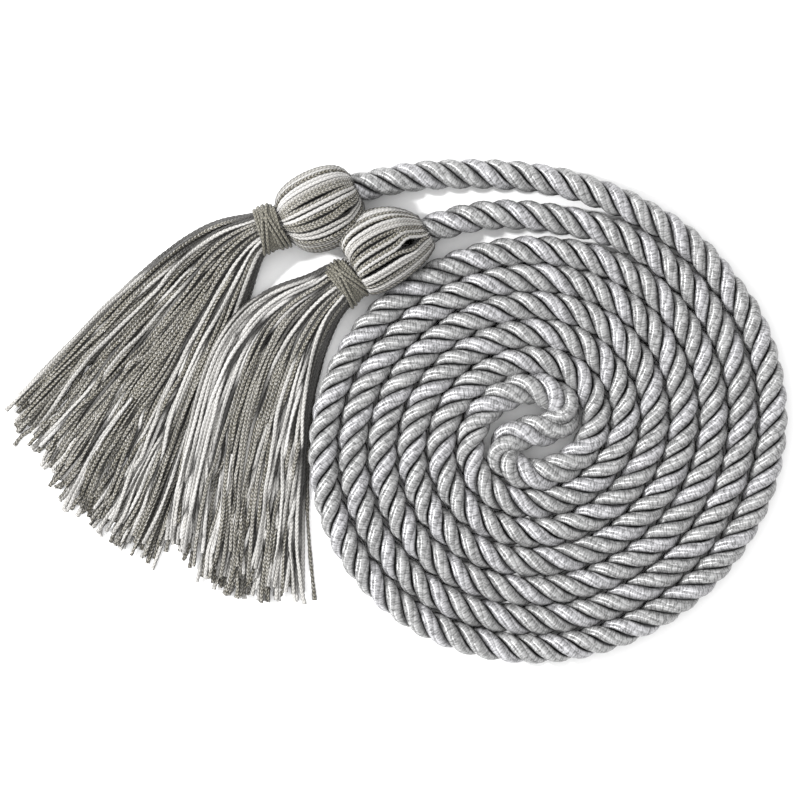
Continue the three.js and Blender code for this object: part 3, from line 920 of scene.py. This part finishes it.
def skirtLines(v):
    s = skirt
    draw = random.Random(v["seed"])
    count = s["threads"]
    lines, floor, shades = [], [], []
    group, bunch = draw.random(), 0
    t = np.linspace(0, 1, s["stations"])
    shortest, fullFrom = s["shortEdge"]
    for index, (across, high) in enumerate(skirtSpots(count)):
        share = min(max((index + 0.5) / count + draw.gauss(0, s["placeJitter"]), 0), 1)
        row = skirtRow(v["skirt"], share)
        whole = s["length"] * row["length"] * mix(shortest, 1, min(share / fullFrom, 1))
        length = whole * min(1 + draw.gauss(0, s["rag"]), s["longest"])
        line = skirtLine(v, row, across, high, length)
        side = np.array(heading(row["lie"] - 90))
        inward = 1 - s["edgeCalm"] * abs(2 * share - 1) ** 3
        cycles = t * draw.uniform(*s["waverCycles"]) + draw.random()
        wave = s["waver"] * inward * t * np.sin(2 * math.pi * cycles)
        bunch = bunch if draw.random() < s["bunchStay"] else draw.gauss(0, s["bunchTurn"])
        turn = math.radians(bunch + draw.gauss(0, s["threadTurn"]))
        flare = v["flare"][0] * max(1 - 2 * share, 0) - v["flare"][1] * max(2 * share - 1, 0)
        wave += flare * np.sin(math.pi * t ** 0.5)
        wave += s["length"] * math.tan(turn) * inward * np.clip(t - s["turnFrom"], 0, 1)
        if draw.random() < s["strayShare"]:
            swing = draw.choice((-1, 1)) * s["stray"] * draw.uniform(*s["strayRange"]) * inward
            wave += swing * past(t, s["strayFrom"], s["strayCurve"])
        wave += v["loose"].get(index - count, 0) * past(t, s["looseFrom"], s["looseCurve"])
        lines.append(line + wave[:, None] * side)
        bed = s["endDepth"] * row["over"] * np.clip(t / s["bedReach"], 0, 1) * s["bedShare"]
        floor.append(s["thickness"] / 2 + bed)
        group = group if draw.random() < s["shadeStay"] else draw.random()
        shades.append(draw.uniform(*s["paleShades" if group < v["paleShare"] else "oliveShades"]))
    lines = settled(np.array(lines), np.array(floor), settling)
    shadeKept = np.clip((1 - t) / s["lightTip"], s["lightCover"], 1)
    # painted shade on each thread, from the threads lying over it
    cover = list(covered(lines, covering) * shadeKept)
    lines = list(lines)
    for index, reach, shade in v["loops"]:
        lines.append(loopedEnd(lines[index], reach, looping))
        shades.append(shade)
        cover.append(np.zeros(len(lines[-1])))
    return lines, shades, cover


def loopedEnd(line, reach, v):  # a thread that turns back at its end
    s = skirt
    first = int(s["stations"] * v["from"])
    along = line[-1] - line[-6]
    along /= np.linalg.norm(along)
    side = np.cross(along, (0, 0, 1)) * s["width"] * v["halfWidth"]
    rise = np.array((0, 0, s["thickness"] * v["rise"]))
    further = [line[-1] + along * reach * k / v["steps"] for k in range(1, v["steps"] + 1)]
    out = np.concatenate([line[first:], further]) + rise
    bow = np.linspace(0, 1, len(out))[:, None]
    angles = np.linspace(v["turnFrom"], math.pi - v["turnFrom"], v["turnPoints"])
    turn = [out[-1] + along * math.sin(a) * s["width"] * v["bow"] - side * math.cos(a) for a in angles]
    made = np.concatenate([out - side * bow, turn, (out + side * bow)[::-1]])
    made[:, 2] = np.maximum(made[:, 2], s["thickness"] / 2)
    return evenly(made, s["stations"])


def eyeShift(eye, angle, along):  # how far a thread is pushed aside by the gap in the head
    off = (angle - math.radians(eye["angle"]) + math.pi) % (2 * math.pi) - math.pi
    span = eye["spanMouth"] if along < eye["along"] else eye["spanNeck"]
    near = math.exp(-(off / math.radians(eye["spanAngle"])) ** 2 - ((along - eye["along"]) / span) ** 2)
    return math.copysign(math.radians(eye["push"]) * near, off)


def headLine(v, shape, angle, waver, inset, swellShare):  # from inside the mouth to under the binding
    s = headThreads
    axis, side = heading(v["headHeading"]), heading(v["headHeading"] - 90)
    neckAxis, neckSide = heading(v["neckHeading"]), heading(v["neckHeading"] - 90)
    mouth = Vector((*v["mouth"], 0))
    bulge = axis * v["headShift"] + side * v["headBow"]
    line = []
    for along, swell, lift in [*s["inside"], *shape]:
        width = mix(mix(head["mouthWidth"], neck["width"], along), v["headWidth"], swell * swellShare)
        depth = mix(mix(head["mouthWidth"], neck["depth"], along), head["depth"], swell * swellShare)
        turned = angle + waver * math.sin(math.pi * along)
        turned += eyeShift(v["eye"], turned, along)
        halfWidth = width / 2 - s["thickness"] / 2 - inset * max(swell, 0)
        halfDepth = depth / 2 - s["thickness"] / 2 - inset * max(swell, 0)
        spot = mouth + axis * (head["length"] * along) + bulge * max(swell, 0)
        spot.z = (depth / 2) * (1 + head["ribShare"]) + lift * neck["lift"]
        spot.z = mix(head["mouthHeight"], spot.z, min(max(along / s["mouthShare"], 0), 1))
        spot += side * (halfWidth * math.cos(turned)) + up * (halfDepth * math.sin(turned))
        spot.z = max(spot.z, s["thickness"] / 2)
        line.append(tuple(spot))
    for along in s["bound"]:
        spot = neckStart(v) + neckAxis * along
        spot += neckSide * (neck["width"] / 2 - s["boundInset"]) * math.cos(angle)
        spot += up * (neck["depth"] / 2 - s["boundInset"]) * math.sin(angle)
        line.append(tuple(spot))
    return evenly(np.array(line), s["stations"])


def headLines(v):
    s = headThreads
    draw = random.Random(v["seed"] + 1)
    shape = smoothRoute(head["sections"], 4)
    lines, shades, cover = [], [], []
    pale, left = False, 0
    for number, (count, inset, swellShare) in enumerate(s["layers"]):
        for index in range(count):
            shift = draw.uniform(-s["jitter"], s["jitter"])
            angle = 2 * math.pi * (index + number * 0.5 + shift) / count
            rise = draw.uniform(*s["roughRange"]) * s["rough"]
            waver = draw.uniform(-s["waver"], s["waver"])
            lines.append(headLine(v, shape, angle, waver, inset + rise, swellShare))
            if not left:
                pale = not pale
                left = draw.choice(v["headRuns"][pale])
            left -= 1
            shades.append(draw.uniform(*s["paleShades" if pale else "oliveShades"]))
            # painted shade: the inner layer of the head is fully shaded
            cover.append([min(number, 1)] * s["stations"])
    return lines, shades, cover


def threadPiece(name, bundle, v, node, swellAt):
    lines, shades, cover = bundle
    shade = [value for line, value in zip(lines, shades) for _ in line]
    number = [index for index, line in enumerate(lines) for _ in line]
    swell = [swellAt(k / (len(line) - 1)) for line in lines for k in range(len(line))]
    under = [value for row in cover for value in row]
    made = wrapped(name, lines, v, tasselThread, shade=shade, thread=number, swell=swell, cover=under)
    belongs(made, "tassel_thread", node)


def skirtSwell(t):  # a thread is full past the neck
    return skirt["neckSwell"] + (1 - skirt["neckSwell"]) * min(t / skirt["swellReach"], 1)


def headSwell(t):  # a thread is full at its middle
    low, high = headThreads["swellRange"]
    full = math.sin(math.pi * min(max(t, low), high))
    return headThreads["endSwell"] + (1 - headThreads["endSwell"]) * full


for side, tassel in tassels.items():
    threadPiece("tassel_" + side + "_skirt", skirtLines(tassel), skirt, "tassel_" + side, skirtSwell)
    threadPiece("tassel_" + side + "_head", headLines(tassel), headThreads, "tassel_" + side, headSwell)


# the bindings: thread wound round each neck, with a few turns laid over it at a slant
binding = {
    "width": 0.86,
    "thickness": 0.7,
    "stitch": 0.9,
    "throw": 0.04,
    "twist": 0.5,
    "sides": 8,
    "noiseSeed": 5.0,
    "shade": 0.3,
    "stepsPerTurn": 40,
    "winds": [  # turns, first and last place along the neck, reach past the neck, slant, start
        {"turns": 7.5, "first": 0.35, "last": 5.6, "reach": 0.42, "slant": 0.02, "start": 0.1},
        {"turns": 2.6, "first": 0.7, "last": 3.4, "reach": 0.86, "slant": 0.3, "start": 0.3},
        {"turns": 2.4, "first": 2.6, "last": 5.3, "reach": 0.92, "slant": -0.22, "start": 0.55},
    ],
}


def bindingLines(v):
    axis, side = heading(v["neckHeading"]), heading(v["neckHeading"] - 90)
    steps = binding["stepsPerTurn"]
    lines = []
    for wind in binding["winds"]:
        line = []
        for step in range(int(wind["turns"] * steps) + 1):
            angle = 2 * math.pi * (wind["start"] + step / steps)
            along = mix(wind["first"], wind["last"], step / steps / wind["turns"])
            across = (neck["width"] / 2 + wind["reach"]) * math.cos(angle)
            spot = neckStart(v) + side * across + axis * (along + wind["slant"] * across)
            spot += up * (neck["depth"] / 2 + wind["reach"]) * math.sin(angle)
            line.append(tuple(spot))
        lines.append(np.array(line))
    return lines


def makeBinding(name, v, node):
    lines = bindingLines(v)
    count = sum(len(line) for line in lines)
    made = wrapped(name, lines, binding, bindingThread,
                   shade=[binding["shade"]] * count, thread=[0] * count, swell=[1.0] * count)
    belongs(made, "binding_thread", node)


for side, tassel in tassels.items():
    makeBinding("neck_" + side + "_winding", tassel, "binding_" + side)


# a plain pale floor and soft light
floorSheet = {"half": 1.5, "roughness": 0.9, "color": (0.93, 0.93, 0.93, 1)}


def makeFloor(v):
    half = v["half"]
    corners = [(-half, -half, 0), (half, -half, 0), (half, half, 0), (-half, half, 0)]
    mesh = bpy.data.meshes.new("floor")
    mesh.from_pydata(corners, [], [(0, 1, 2, 3)])
    floor = bpy.data.objects.new("floor", mesh)
    bpy.context.collection.objects.link(floor)
    material, _, shader = newMaterial("floorPaper", v["roughness"], Specular_IOR_Level=0.0)
    shader.inputs["Base Color"].default_value = v["color"]
    mesh.materials.append(material)


studio = {
    "fillLow": 0.98,
    "fillHigh": 1.6,
    "keyPower": 15,
    "keyFrom": (-0.86, 0.16, 0.6),
    "keySize": 0.08,
}


def makeLight(v):
    data = bpy.data.lights.new("key", "AREA")
    data.energy = v["keyPower"]
    data.size = v["keySize"]
    key = bpy.data.objects.new("key", data)
    bpy.context.collection.objects.link(key)
    key.location = v["keyFrom"]
    key.rotation_mode = "QUATERNION"
    key.rotation_quaternion = Vector(v["keyFrom"]).to_track_quat("Z", "Y")
    world = bpy.data.worlds.new("studio")
    bpy.context.scene.world = world
    world.use_nodes = True
    tree = world.node_tree
    spot = add(tree, "ShaderNodeTexCoord").outputs["Generated"]
    facing = add(tree, "ShaderNodeVectorMath", {0: spot, 1: tuple(Vector(v["keyFrom"]).normalized())},
                 operation="DOT_PRODUCT").outputs["Value"]
    fill = remap(tree, facing, -1.0, 1.0, v["fillLow"], v["fillHigh"])
    tree.nodes["Background"].inputs["Color"].default_value = (1, 1, 1, 1)
    tree.links.new(fill, tree.nodes["Background"].inputs["Strength"])
    bpy.context.scene.view_settings.view_transform = "Standard"


makeFloor(floorSheet)
makeLight(studio)
print("floor and light made")
